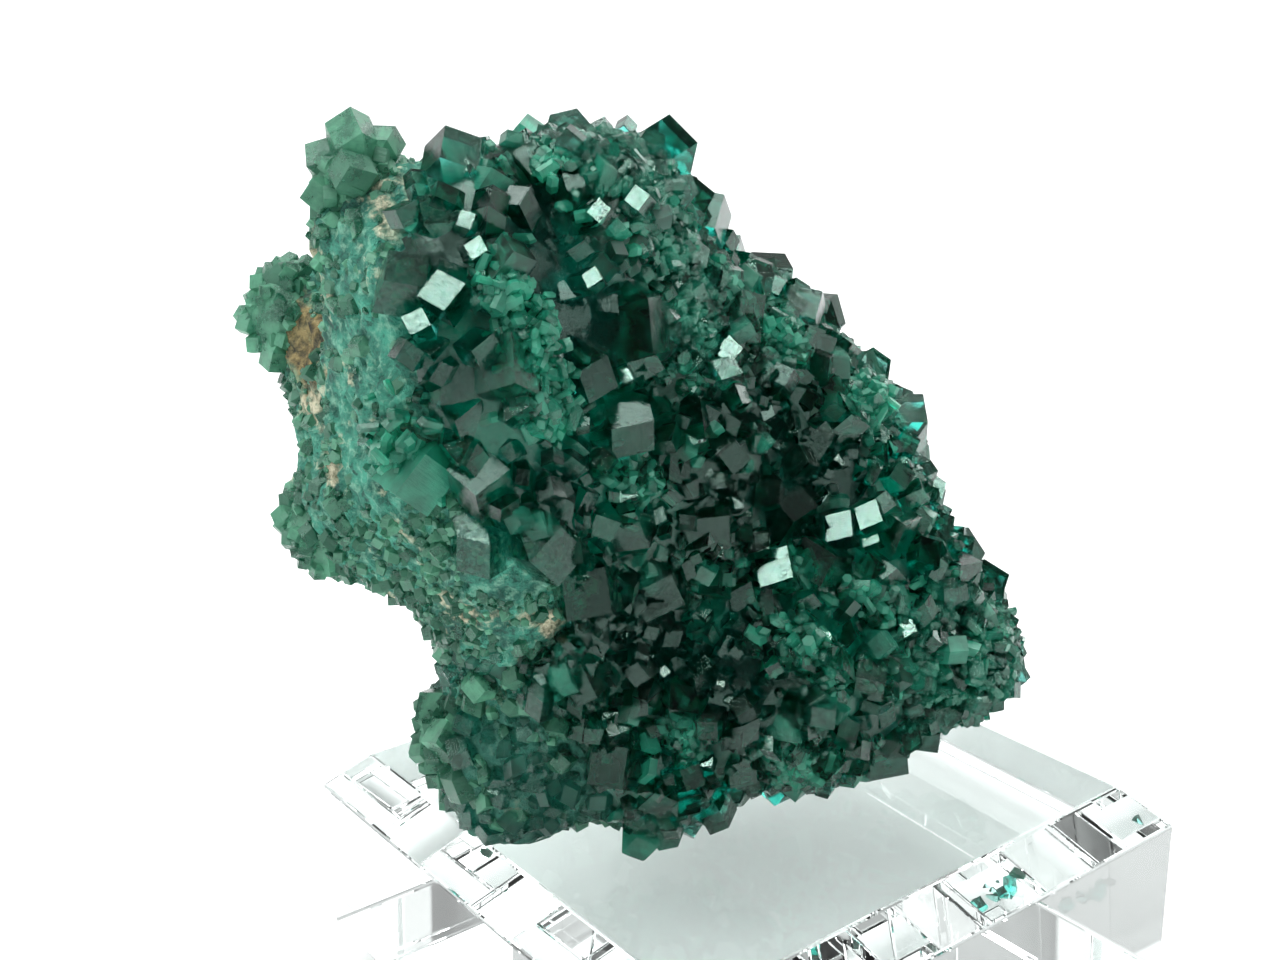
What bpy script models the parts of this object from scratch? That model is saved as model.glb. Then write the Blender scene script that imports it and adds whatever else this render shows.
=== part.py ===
"""A dioptase specimen on a clear display block: rock, the druse that grew on it, and small groups of crystals.

Metres, +Z up. The origin is the centre of the block's underside, and the druse faces -Y.
The natural shapes are worked out in millimetres and scaled by MM when they become meshes.
"""

import math
import random

import bmesh
import bpy
import numpy as np
from mathutils import Matrix, Vector

MM = 0.001

# The clear block: a two inch square with its top and bottom edges bevelled
BLOCK_SIDE = 50 * MM
BLOCK_HEIGHT = 20 * MM
BLOCK_BEVEL = 3.2 * MM
BLOCK_TURN = math.radians(36.9)

# Touching pieces keep a gap, in millimetres. On the rock it is taken along lines from the rock's centre,
# which meet its skin at a slant, so it is the wider one there
SEAT_GAP = 0.3
ROCK_GAP = 0.5
SEAT_Z = BLOCK_HEIGHT / MM + SEAT_GAP

# The rock is a smooth union of rounded lumps: centre and radii in millimetres
ROCK_CENTRE = np.array((-8, -2, 44))
ROCK_LUMPS = {
    "core": ((-6, 2, 45), (14, 11, 17)),
    "upper_mass": ((-17.5, -8.5, 60.5), (9, 10, 9.5)),
    "ridge": ((-17, -11, 52.5), (8.2, 8, 11)),
    "ridge_foot": ((-15, -9.5, 43), (7.5, 7, 7)),
    "apron": ((-14, -7, 35), (7.5, 7, 8)),
    "slope": ((-8, -5, 48), (8.5, 7.5, 11)),
    "flank": ((-24.6, -3, 51), (7, 9, 8.5)),
    "flank_ledge": ((-23.8, -5, 45.5), (6.5, 7.5, 5)),
    "knob": ((-30.6, -1, 59), (3.3, 3.9, 3.6)),
    "pillar": ((-25.2, -9, 67.6), (2.5, 3.3, 3.6)),
    "brow": ((-19, -8.5, 65), (6.5, 6.5, 4.8)),
    "crown": ((-10.8, -7, 65.4), (4.8, 6, 5.4)),
    "horn": ((-6.8, -3, 65.6), (2.2, 4.2, 4.4)),
    "saddle": ((-7.6, -1, 57.8), (5.6, 7.5, 6.2)),
    "shoulder": ((0.6, 3.5, 49.6), (8, 8, 7.3)),
    "right_face": ((6.6, 3.5, 42.6), (7.5, 8.5, 9)),
    "right_foot": ((10.8, 1.5, 35.4), (6.8, 8, 6.6)),
    "lobe": ((16.4, 0, 30.8), (5, 6.3, 4.2)),
    "belly": ((0, -3, 32.6), (12.6, 9.5, 7.6)),
    "toe": ((-7.5, -7.5, 25.5), (6, 5.5, 5)),
    "heel": ((-17.4, -6.4, 25.8), (5.4, 6.2, 7.8)),
    "right_sole": ((5.6, -3, 28), (7.2, 6.5, 5.2)),
    "back": ((-7, 9, 45), (14, 8, 15)),
    "back_foot": ((-5, 7, 27), (10, 8, 6.5)),
}
LUMP_BLEND = 1.8
ROCK_REACH = 48
ROCK_STEPS = 120
SPHERE_DETAIL = 5
ROCK_FACES_KEPT = 0.32
ROCK_BUMP = 0.5
ROCK_BUMP_LENGTH = 7.0

# The druse covers the half of the rock that faces this way, less a bare strip on its left flank
DRUSE_FACING = np.array((0.80, -0.55, 0.20))
DRUSE_EDGE = 0.04
DRUSE_WAVER = 0.06
BARE_STRIP = np.array((-0.62, -0.76, -0.19))
BARE_STRIP_REACH = 0.93
CRUST_DEPTH = 2.2
CRUST_RISE = 1.0
SHELL_WALL = 3.6
SHELL_FACES_KEPT = 0.12

# Dioptase grows as a six-sided prism whose end is three rhombs, 51 degrees from square
RHOMB_SLOPE = math.tan(math.radians(51))
CRYSTAL_ROOT = 2.6
DRUSE_SEED = 23
DRUSE_TRIES = 3600
DRUSE_RADII = (1.35, 2.75)
DRUSE_HEIGHTS = (0.9, 1.8)
DRUSE_SPACING = 1.8
DRUSE_TILT = math.radians(40)

# Where the crystals are finer or coarser than elsewhere: centre, reach and the factor on their radius
SIZE_ZONES = (
    ((-8, -9, 66), 8.0, 0.62),
    ((17, -4, 31), 7.0, 0.60),
    ((-19, -17, 60), 7.0, 1.30),
)

# Large crystals of the druse that show in its outline or face: where each is rooted, its tip and its radius
DRUSE_LEADERS = (
    ((-5.8, -3.6, 67.4), (-4.4, -4.2, 73.4), 2.2),
    ((-5.8, -3.6, 67.4), (-8.0, -5.2, 72.4), 1.5),
    ((-5.8, -2.6, 67.0), (-5.2, 0.4, 71.2), 1.5),
    ((-20.0, -14.6, 63.4), (-22.4, -20.6, 65.4), 2.2),
    ((-20.2, -15.0, 52.8), (-22.6, -21.2, 51.8), 2.7),
    ((-9.6, -10.6, 61.4), (-6.0, -16.2, 59.2), 3.3),
    ((-16.2, -13.6, 53.0), (-12.6, -19.6, 44.6), 2.6),
    ((-19.0, -14.4, 51.6), (-17.0, -20.6, 45.6), 2.2),
    ((14.6, 2.4, 37.4), (20.6, 2.6, 37.6), 2.4),
    ((12.0, 3.0, 41.0), (17.4, 3.4, 42.8), 2.2),
    ((4.6, 3.8, 54.0), (8.0, 4.0, 58.4), 2.0),
    ((6.5, 3.0, 49.0), (11.2, 2.6, 54.6), 2.1),
    ((9.0, 3.0, 46.0), (14.2, 3.2, 50.4), 1.9),
)

# Groups that stand apart: the centre they radiate from, its pad's radius, then each crystal's tip and radius
CRYSTAL_GROUPS = {
    "pillar_crystals": (
        (-25.4, -9.6, 69.6),
        3.2,
        (
            ((-25.3, -10.8, 75.0), 2.1),
            ((-28.6, -10.2, 72.6), 1.6),
            ((-22.6, -9.8, 73.6), 1.5),
            ((-28.8, -12.4, 69.4), 1.5),
            ((-25.0, -14.4, 71.6), 1.8),
            ((-25.0, -5.8, 72.6), 1.8),
        ),
    ),
    "knob_crystals": (
        (-32.0, -1.4, 59.4),
        3.7,
        (
            ((-35.6, -2.6, 57.2), 1.5),
            ((-35.4, -1.2, 60.8), 1.6),
            ((-32.6, -3.6, 63.6), 1.8),
            ((-33.6, -5.4, 56.0), 1.5),
            ((-31.4, 2.2, 63.0), 1.7),
            ((-34.4, 2.8, 58.6), 1.6),
        ),
    ),
    "flank_crystal": (
        (-27.0, -11.4, 48.1),
        1.2,
        (((-28.8, -13.6, 48.4), 1.0),),
    ),
    "ledge_crystals": (
        (-29.4, -6.2, 44.6),
        3.8,
        (
            ((-32.2, -6.6, 43.4), 1.5),
            ((-29.6, -9.8, 41.8), 1.4),
            ((-32.4, -2.8, 46.4), 1.4),
            ((-31.6, -8.4, 46.0), 1.3),
        ),
    ),
    "heel_crystals": (
        (-20.6, -7.4, 27.6),
        4.0,
        (
            ((-24.0, -8.4, 31.8), 1.9),
            ((-24.4, -9.0, 27.2), 1.8),
            ((-22.4, -12.8, 29.8), 2.0),
            ((-24.0, -6.6, 23.6), 1.8),
            ((-20.8, -13.0, 24.8), 1.9),
            ((-24.2, -3.8, 28.6), 1.9),
        ),
    ),
    "back_crystals_high": (
        (-8.2, 12.2, 54.8),
        4.0,
        (
            ((-7.4, 17.4, 57.0), 2.1),
            ((-11.4, 15.0, 58.0), 1.8),
            ((-3.6, 15.6, 58.6), 1.8),
            ((-8.6, 12.6, 60.6), 1.8),
            ((-11.0, 16.8, 53.2), 1.6),
        ),
    ),
    "back_crystals_low": (
        (-13.0, 14.0, 38.4),
        3.4,
        (
            ((-14.4, 18.8, 39.4), 2.0),
            ((-17.8, 15.6, 37.0), 1.7),
            ((-11.4, 17.6, 34.6), 1.6),
            ((-15.8, 15.8, 42.6), 1.6),
        ),
    ),
}
GROUP_SEED = 5


def clear_scene():
    """Removes every object, so that only this model is in the file."""
    for obj in list(bpy.data.objects):
        bpy.data.objects.remove(obj, do_unlink=True)


def new_collection(name):
    collection = bpy.data.collections.new(name)
    bpy.context.scene.collection.children.link(collection)
    return collection


def new_material(name, colour, roughness, transmission=0.0):
    """A Principled material of one colour."""
    material = bpy.data.materials.new(name)
    material.use_nodes = True
    shader = material.node_tree.nodes["Principled BSDF"]
    shader.inputs["Base Color"].default_value = (*colour, 1)
    shader.inputs["Roughness"].default_value = roughness
    shader.inputs["Metallic"].default_value = 0
    shader.inputs["Transmission Weight"].default_value = transmission
    material.diffuse_color = (*colour, 1)
    return material


def new_object(name, bm, collection, material=None):
    """Turns the bmesh into an object of that name, and frees the bmesh."""
    mesh = bpy.data.meshes.new(name)
    bm.to_mesh(mesh)
    bm.free()
    obj = bpy.data.objects.new(name, mesh)
    collection.objects.link(obj)
    if material:
        mesh.materials.append(material)
    return obj


def make_guide(obj):
    """Marks a cutter or another helper, which isn't part of the object."""
    obj.hide_render = True
    obj.display_type = "WIRE"
    return obj


def add_boolean(obj, operation, other, solver="EXACT", resolve_self=False):
    modifier = obj.modifiers.new(f"{operation.lower()}_{other.name}", "BOOLEAN")
    modifier.operation = operation
    modifier.object = other
    modifier.solver = solver
    modifier.use_self = resolve_self


def keep_faces(obj, share):
    """Thins the mesh to this share of its faces, most where it is flattest."""
    fewer = obj.modifiers.new("fewer_faces", "DECIMATE")
    fewer.ratio = share


def unit(vectors):
    return vectors / np.linalg.norm(vectors, axis=-1, keepdims=True)


def waves(points, size, seed, count=18):
    """Smooth noise from about -1 to 1: a sum of sine waves about size long, in seeded directions."""
    source = np.random.RandomState(seed)
    ways = unit(source.normal(size=(count, 3)))
    lengths = size * source.uniform(0.7, 1.5, count)
    phases = source.uniform(0, 2 * math.pi, count)
    total = np.sin(points @ (ways * (2 * math.pi / lengths[:, None])).T + phases).sum(axis=1)
    return total / math.sqrt(count * 2)


def lump_field(points):
    """The smooth union of the lumps' distances: negative inside the rock, zero on its skin."""
    total = np.zeros(len(points))
    for centre, radii in ROCK_LUMPS.values():
        scaled = (points - np.array(centre)) / np.array(radii)
        length = np.sqrt((scaled * scaled).sum(axis=1))
        slope = np.sqrt(((scaled / np.array(radii)) ** 2).sum(axis=1)) + 1e-9
        distance = length * (length - 1) / slope
        total += np.exp(-np.clip(distance, -60, 60) / LUMP_BLEND)
    return -LUMP_BLEND * np.log(total + 1e-30)


def floor_radius(directions):
    """How far the skin of the lumps lies from the rock's centre, along each direction."""
    reaches = np.linspace(2, ROCK_REACH, ROCK_STEPS)
    inside = np.stack([lump_field(ROCK_CENTRE + directions * reach) < 0 for reach in reaches], axis=1)
    last = ROCK_STEPS - 1 - np.argmax(inside[:, ::-1], axis=1)
    near = reaches[last]
    far = reaches[np.minimum(last + 1, ROCK_STEPS - 1)]
    for _ in range(12):
        middle = (near + far) / 2
        solid = lump_field(ROCK_CENTRE + directions * middle[:, None]) < 0
        near = np.where(solid, middle, near)
        far = np.where(solid, far, middle)
    return (near + far) / 2


def floor_points(directions):
    """The points of the lumps' skin along each direction, and the outward normals there."""
    points = ROCK_CENTRE + directions * floor_radius(directions)[:, None]
    step = 0.4
    slopes = [lump_field(points + step * axis) - lump_field(points - step * axis) for axis in np.eye(3)]
    return points, unit(np.stack(slopes, axis=1))


def druse_share(directions):
    """0 on the bare sides of the rock and 1 where the druse covers it, with a wavering edge between."""
    waver = DRUSE_WAVER * waves(directions, 0.6, seed=3)
    facing = directions @ unit(DRUSE_FACING) - DRUSE_EDGE + waver
    clear_of_strip = BARE_STRIP_REACH - directions @ unit(BARE_STRIP) + waver
    return np.clip(np.minimum(facing, 1.6 * clear_of_strip) / 0.10 + 0.5, 0, 1)


def rock_radii(directions, beyond=0.0):
    """The rock's skin: the lumps, sunk under the druse by its depth and roughened where they show."""
    radii = floor_radius(directions)
    skin = ROCK_CENTRE + directions * radii[:, None]
    share = druse_share(directions)
    bump = ROCK_BUMP * (1 - 0.7 * share) * waves(skin, ROCK_BUMP_LENGTH, seed=5)
    return radii - CRUST_DEPTH * share + bump + beyond


def sphere_of_directions():
    """An icosphere's bmesh and the unit direction of each of its vertices."""
    bm = bmesh.new()
    bmesh.ops.create_icosphere(bm, subdivisions=SPHERE_DETAIL, radius=1)
    return bm, unit(np.array([vertex.co[:] for vertex in bm.verts]))


def place_radially(bm, directions, radii):
    points = (ROCK_CENTRE + directions * radii[:, None]) * MM
    for vertex, point in zip(bm.verts, points):
        vertex.co = point


def make_rock(name, collection, material=None, beyond=0.0):
    """The rock as one closed body, or a like body that stands beyond it by a gap."""
    bm, directions = sphere_of_directions()
    place_radially(bm, directions, rock_radii(directions, beyond))
    rock = new_object(name, bm, collection, material)
    keep_faces(rock, ROCK_FACES_KEPT)
    return rock


def make_seat_cutter(collection):
    """A slab whose top is where the specimen rests, to trim what would reach into the block."""
    size = 160
    bm = bmesh.new()
    middle = Matrix.Translation((0, 0, (SEAT_Z - size / 2) * MM))
    bmesh.ops.create_cube(bm, size=size * MM, matrix=middle)
    return make_guide(new_object("seat_cutter", bm, collection))


def crystal_corners(radius, length):
    """A crystal's corners with its root at z = 0 and its tip at z = length: two rings of six and the tip."""
    corners = []
    for side in range(6):
        angle = side * math.pi / 3
        x = radius * math.cos(angle)
        y = radius * math.sin(angle)
        drop = radius * RHOMB_SLOPE * (1 if side % 2 == 0 else 0.5)
        corners.append(Vector((x, y, 0)))
        corners.append(Vector((x, y, max(length - drop, 0.2))))
    corners.append(Vector((0, 0, length)))
    return corners


def add_crystal(bm, root, tip, radius, source):
    """One crystal from root to tip, turned about its axis and a little flattened by chance."""
    axis = tip - root
    upright = axis.to_track_quat("Z", "Y").to_matrix()
    spin = Matrix.Rotation(source.uniform(0, math.pi), 3, "Z")
    squeeze = source.uniform(0.88, 1.14)
    shape = upright @ spin @ Matrix.Diagonal((squeeze, 1 / squeeze, 1))
    corners = [bm.verts.new((root + shape @ corner) * MM) for corner in crystal_corners(radius, axis.length)]
    bmesh.ops.convex_hull(bm, input=corners)


def size_factors(points):
    """How much larger or smaller the crystals are at each point: 1, but for the zones."""
    factors = np.ones(len(points))
    for centre, reach, factor in SIZE_ZONES:
        away = ((points - np.array(centre)) ** 2).sum(axis=1)
        factors += (factor - 1) * np.exp(-away / reach**2)
    return factors


def scattered_crystals(source):
    """Random spots of the druse, each clear of the others by its size: points, normals and crystal radii."""
    ways = np.array([[source.gauss(0, 1) for _ in range(3)] for _ in range(DRUSE_TRIES)])
    ways = unit(ways)
    ways = ways[druse_share(ways) > 0.75]
    radii = np.array([source.uniform(*DRUSE_RADII) for _ in ways])
    points, normals = floor_points(ways)
    radii *= size_factors(points)
    kept = []
    for i, (point, radius) in enumerate(zip(points, radii)):
        apart = np.linalg.norm(points[kept] - point, axis=1)
        if (apart > DRUSE_SPACING * (radii[kept] + radius) / 2).all():
            kept.append(i)
    return points[kept].tolist(), normals[kept].tolist(), radii[kept].tolist()


def make_druse_crystals(collection):
    """All crystals of the druse, each leaning from the floor's normal by chance."""
    source = random.Random(DRUSE_SEED)
    bm = bmesh.new()
    for point, normal, radius in zip(*scattered_crystals(source)):
        point = Vector(point)
        normal = Vector(normal)
        aside = normal.cross(Vector([source.gauss(0, 1) for _ in range(3)])).normalized()
        axis = Matrix.Rotation(DRUSE_TILT * source.random(), 3, aside) @ normal
        height = radius * source.uniform(*DRUSE_HEIGHTS)
        add_crystal(bm, point - CRYSTAL_ROOT * axis, point + height * axis, radius, source)
    for root, tip, radius in DRUSE_LEADERS:
        add_crystal(bm, Vector(root), Vector(tip), radius, source)
    return make_guide(new_object("druse_crystals", bm, collection))


def make_druse(collection, cutters, material, rock_clearance, seat_cutter):
    """The druse: a shell over its part of the rock, and all of its crystals grown together with it."""
    bm, directions = sphere_of_directions()
    share = druse_share(directions)
    place_radially(bm, directions, floor_radius(directions) + CRUST_RISE * share)
    bare = [vertex for vertex, covered in zip(bm.verts, share > 0.5) if not covered]
    bmesh.ops.delete(bm, geom=bare, context="VERTS")
    crust = new_object("druse_crust", bm, collection, material)
    keep_faces(crust, SHELL_FACES_KEPT)
    wall = crust.modifiers.new("wall", "SOLIDIFY")
    wall.thickness = SHELL_WALL * MM
    wall.offset = -1
    add_boolean(crust, "UNION", make_druse_crystals(cutters), resolve_self=True)
    add_boolean(crust, "DIFFERENCE", rock_clearance, solver="MANIFOLD")
    add_boolean(crust, "DIFFERENCE", seat_cutter, solver="MANIFOLD")


def make_group(name, collection, cutters, material, cutting):
    """A group of crystals that radiate from a small pad of their own on the rock."""
    centre, pad_radius, tips_and_radii = CRYSTAL_GROUPS[name]
    centre = Vector(centre)
    pad = bmesh.new()
    middle = Matrix.Translation(centre * MM)
    bmesh.ops.create_icosphere(pad, subdivisions=1, radius=pad_radius * MM, matrix=middle)
    group = new_object(name, pad, collection, material)
    source = random.Random(GROUP_SEED)
    bm = bmesh.new()
    for tip, radius in tips_and_radii:
        add_crystal(bm, centre, Vector(tip), radius, source)
    crystals = make_guide(new_object(f"{name}_parts", bm, cutters))
    add_boolean(group, "UNION", crystals, resolve_self=True)
    for cutter in cutting:
        add_boolean(group, "DIFFERENCE", cutter, solver="MANIFOLD")


def make_block(collection, material):
    """The clear block, turned so that a corner comes forward."""
    bm = bmesh.new()
    bmesh.ops.create_cube(bm, size=1)
    bmesh.ops.scale(bm, vec=(BLOCK_SIDE, BLOCK_SIDE, BLOCK_HEIGHT), verts=bm.verts)
    bmesh.ops.translate(bm, vec=(0, 0, BLOCK_HEIGHT / 2), verts=bm.verts)
    level = [edge for edge in bm.edges if edge.verts[0].co.z == edge.verts[1].co.z]
    bmesh.ops.bevel(bm, geom=level, offset=BLOCK_BEVEL, segments=1, affect="EDGES")
    block = new_object("display_block", bm, collection, material)
    block.rotation_euler = (0, 0, BLOCK_TURN)


def main():
    clear_scene()
    parts = new_collection("dioptase_specimen")
    cutters = new_collection("cutters")
    clear = new_material("clear_block", (0.93, 0.96, 0.95), 0.05, transmission=1)
    green = new_material("dioptase_druse", (0.01, 0.14, 0.09), 0.12)
    pale_green = new_material("dioptase_groups", (0.03, 0.30, 0.17), 0.2)
    stone = new_material("rock", (0.24, 0.33, 0.25), 0.85)
    make_block(parts, clear)
    rock = make_rock("matrix_rock", parts, stone)
    rock_clearance = make_guide(make_rock("rock_clearance", cutters, beyond=ROCK_GAP))
    seat_cutter = make_seat_cutter(cutters)
    add_boolean(rock, "DIFFERENCE", seat_cutter, solver="MANIFOLD")
    make_druse(parts, cutters, green, rock_clearance, seat_cutter)
    for name in CRYSTAL_GROUPS:
        make_group(name, parts, cutters, pale_green, (rock_clearance, seat_cutter))


main()
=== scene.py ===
"""A dioptase specimen on its clear display block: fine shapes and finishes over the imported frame.

Metres, +Z up, and the druse faces -Y. The rock and the crystals are worked out in millimetres from the same
rounded lumps, seeds and tips as the frame's solids, and scaled by MM where they become meshes.
"""

import math
import random

import bpy
import numpy as np
from mathutils import Matrix, Vector


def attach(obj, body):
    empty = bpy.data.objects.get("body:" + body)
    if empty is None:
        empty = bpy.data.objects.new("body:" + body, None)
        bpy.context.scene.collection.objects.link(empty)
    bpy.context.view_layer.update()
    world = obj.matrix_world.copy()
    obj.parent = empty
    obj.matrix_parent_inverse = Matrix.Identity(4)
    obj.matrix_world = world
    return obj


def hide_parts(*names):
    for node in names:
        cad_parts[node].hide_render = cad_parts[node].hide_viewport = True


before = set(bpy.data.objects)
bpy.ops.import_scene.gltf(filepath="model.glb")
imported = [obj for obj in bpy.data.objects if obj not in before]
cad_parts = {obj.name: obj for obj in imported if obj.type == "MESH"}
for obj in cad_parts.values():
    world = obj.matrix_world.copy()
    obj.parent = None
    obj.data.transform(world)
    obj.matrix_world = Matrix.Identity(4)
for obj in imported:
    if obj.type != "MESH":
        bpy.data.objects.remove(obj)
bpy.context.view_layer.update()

MM = 0.001


# The camera
# It stands a hand's breadth in front of the specimen and looks a little down, turned by a small roll. Light
# may cross the clear crystals and the block many times on its way there.

CAMERA_PLACE = Vector((-7.054, -116.40, 83.893)) * MM
CAMERA_PITCH = math.radians(18.317)
CAMERA_ROLL = math.radians(-1.394)
SENSOR_WIDTH = 36
FOCAL_LENGTH = 44.56
NEAREST_SEEN = 5 * MM
CROSSINGS = 24

camera_data = bpy.data.cameras.new("view")
camera_data.sensor_width = SENSOR_WIDTH
camera_data.lens = FOCAL_LENGTH
camera_data.clip_start = NEAREST_SEEN
camera = bpy.data.objects.new("view", camera_data)
camera.location = CAMERA_PLACE
look_down = Matrix.Rotation(math.pi / 2 - CAMERA_PITCH, 3, "X")
camera.rotation_euler = (look_down @ Matrix.Rotation(CAMERA_ROLL, 3, "Z")).to_euler()
bpy.context.scene.collection.objects.link(camera)
bpy.context.scene.camera = camera
bpy.context.scene.view_settings.view_transform = "Standard"
bpy.context.scene.cycles.max_bounces = CROSSINGS
bpy.context.scene.cycles.glossy_bounces = CROSSINGS
bpy.context.scene.cycles.transmission_bounces = CROSSINGS


# The floor
# A matt white table that runs back out of sight. It gives off a faint light of its own, as if lit through,
# which keeps the clear block bright from below.

FLOOR_REACH = 14.0  # metres
FLOOR_DROP = 0.05
FLOOR_COLOUR = "#EDEEEE"
FLOOR_GLOW = 0.22


def linear(colour):
    """An sRGB hex colour as linear red, green, blue and alpha."""
    parts = [int(colour[i : i + 2], 16) / 255 for i in (1, 3, 5)]
    return [c / 12.92 if c <= 0.04045 else ((c + 0.055) / 1.055) ** 2.4 for c in parts] + [1]


def add_node(tree, kind, inputs=None, **settings):
    """Adds a node with its settings, and gives each input a value or a link from another node's output."""
    node = tree.nodes.new(kind)
    for name, value in settings.items():
        setattr(node, name, value)
    for name, value in (inputs or {}).items():
        if isinstance(value, bpy.types.NodeSocket):
            tree.links.new(value, node.inputs[name])
        else:
            node.inputs[name].default_value = value
    return node


def new_material(name):
    """A material with an empty node tree but for its output."""
    material = bpy.data.materials.new(name)
    material.use_nodes = True
    tree = material.node_tree
    tree.nodes.clear()
    output = add_node(tree, "ShaderNodeOutputMaterial")
    return material, tree, output


def new_piece(name, points, faces, material):
    """A mesh object at the origin, from points in millimetres and a list of each face's corners."""
    mesh = bpy.data.meshes.new(name)
    mesh.from_pydata((np.asarray(points) * MM).tolist(), [], faces)
    mesh.materials.append(material)
    piece = bpy.data.objects.new(name, mesh)
    bpy.context.scene.collection.objects.link(piece)
    return piece


# Matt white paint: it gives an even pale ground with soft shadows
table_white, tree, output = new_material("matt_white_table")
shader = add_node(
    tree,
    "ShaderNodeBsdfPrincipled",
    {
        "Base Color": linear(FLOOR_COLOUR),
        "Roughness": 0.9,
        "Emission Color": linear(FLOOR_COLOUR),
        "Emission Strength": FLOOR_GLOW,
    },
)
tree.links.new(shader.outputs[0], output.inputs["Surface"])
reach = FLOOR_REACH / MM
floor = new_piece(
    "table_top",
    [(x * reach, y * reach, -FLOOR_DROP) for x, y in ((-1, -1), (1, -1), (1, 1), (-1, 1))],
    [(0, 1, 2, 3)],
    table_white,
)


# The light
# A soft overhead light for the table, and panels whose reflections show as grey and white facets. The sky is
# bright low down and at the back, and dim in front, so that most facets turned to the viewer stay dark.

SUN_STRENGTH = 3.25
SUN_ANGLE = math.radians(50)
SUN_FROM = Vector((-0.25, 0.15, 1.0))
PANELS = {  # direction it stands in, distance and side in metres, and radiance
    "high_panel": ((0.10, -0.50, 0.85), 0.75, 0.20, 1.6),
    "right_panel": ((0.85, -0.35, 0.45), 0.80, 0.22, 1.8),
    "left_panel": ((-0.85, -0.45, 0.40), 0.80, 0.34, 1.2),
    "back_panel": ((0.65, 0.70, 0.45), 0.70, 0.40, 3.8),
    "small_panel": ((-0.40, -0.45, 0.80), 0.60, 0.08, 26.0),
    "spark_left": ((-0.65, -0.20, 0.75), 0.60, 0.08, 16.0),
    "spark_high": ((0.15, -0.30, 0.95), 0.60, 0.08, 16.0),
    "spark_right": ((0.50, -0.60, 0.60), 0.60, 0.08, 16.0),
    "spark_side": ((0.75, 0.10, 0.65), 0.60, 0.08, 16.0),
    "spark_front": ((-0.10, -0.75, 0.70), 0.60, 0.08, 16.0),
}
PANEL_AIM = Vector((-8, -2, 44)) * MM
SKY_HIGH = 0.36
SKY_LOW = 1.25
SKY_FRONT = 0.06  # the share of the sky's light that is left in front
FRONT = (0.05, -0.85, 0.45)
UPWARD = (0.02, 0.75)  # heights between which the low sky turns into the high one
AHEAD = (0.25, 0.75)  # nearness to the front between which the sky grows dim
HORIZON = (0.04, 0.12)  # heights between which the dimming sets in

sun_data = bpy.data.lights.new("overhead", "SUN")
sun_data.energy = SUN_STRENGTH
sun_data.angle = SUN_ANGLE
sun = bpy.data.objects.new("overhead", sun_data)
sun.rotation_euler = SUN_FROM.to_track_quat("Z", "Y").to_euler()
bpy.context.scene.collection.objects.link(sun)
for name, (direction, distance, side, radiance) in PANELS.items():
    panel_data = bpy.data.lights.new(name, "AREA")
    panel_data.size = side
    panel_data.energy = radiance * math.pi * side * side
    panel = bpy.data.objects.new(name, panel_data)
    direction = Vector(direction).normalized()
    panel.location = PANEL_AIM + direction * distance
    panel.rotation_euler = direction.to_track_quat("Z", "Y").to_euler()
    bpy.context.scene.collection.objects.link(panel)

world = bpy.data.worlds.new("studio")
bpy.context.scene.world = world
world.use_nodes = True
tree = world.node_tree
tree.nodes.clear()
sky_way = add_node(tree, "ShaderNodeTexCoord").outputs["Generated"]
height = add_node(tree, "ShaderNodeSeparateXYZ", {"Vector": sky_way}).outputs["Z"]
fade = {"Value": height, "From Min": UPWARD[0], "From Max": UPWARD[1], "To Min": SKY_LOW, "To Max": SKY_HIGH}
level = add_node(tree, "ShaderNodeMapRange", fade, interpolation_type="SMOOTHSTEP").outputs["Result"]
ahead = add_node(
    tree, "ShaderNodeVectorMath", {0: sky_way, 1: FRONT}, operation="DOT_PRODUCT"
).outputs["Value"]
fade = {"Value": ahead, "From Min": AHEAD[0], "From Max": AHEAD[1], "To Min": 1.0, "To Max": SKY_FRONT}
dimming = add_node(tree, "ShaderNodeMapRange", fade, interpolation_type="SMOOTHSTEP").outputs["Result"]
fade = {"Value": height, "From Min": HORIZON[0], "From Max": HORIZON[1], "To Min": 1.0, "To Max": dimming}
dimming = add_node(tree, "ShaderNodeMapRange", fade, interpolation_type="SMOOTHSTEP").outputs["Result"]
level = add_node(tree, "ShaderNodeMath", {0: level, 1: dimming}, operation="MULTIPLY").outputs["Value"]
sky = add_node(tree, "ShaderNodeBackground", {"Color": (1, 1, 1, 1), "Strength": level})
add_node(tree, "ShaderNodeOutputWorld", {"Surface": sky.outputs[0]})


# The display block
# A square of cast acrylic, its top and bottom edges milled to a wide bevel and all of it flame polished. The
# specimen only rests on it.

BLOCK_SIDE = 50.0
BLOCK_HEIGHT = 20.0
BLOCK_BEVEL = 3.2
BLOCK_TURN = math.radians(36.9)
BLOCK_EDGE = 0.25
CORNER_STEPS = 4


def square_ring(half, edge):
    """Points round a square of that half side, its corners rounded by quarter circles of radius edge."""
    angles = np.linspace(0, math.pi / 2, CORNER_STEPS)
    x = half - edge + edge * np.cos(angles)
    y = half - edge + edge * np.sin(angles)
    turns = np.arange(4)[:, None] * math.pi / 2
    turned_x = x * np.cos(turns) - y * np.sin(turns)
    turned_y = x * np.sin(turns) + y * np.cos(turns)
    return np.column_stack((turned_x.ravel(), turned_y.ravel()))


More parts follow.
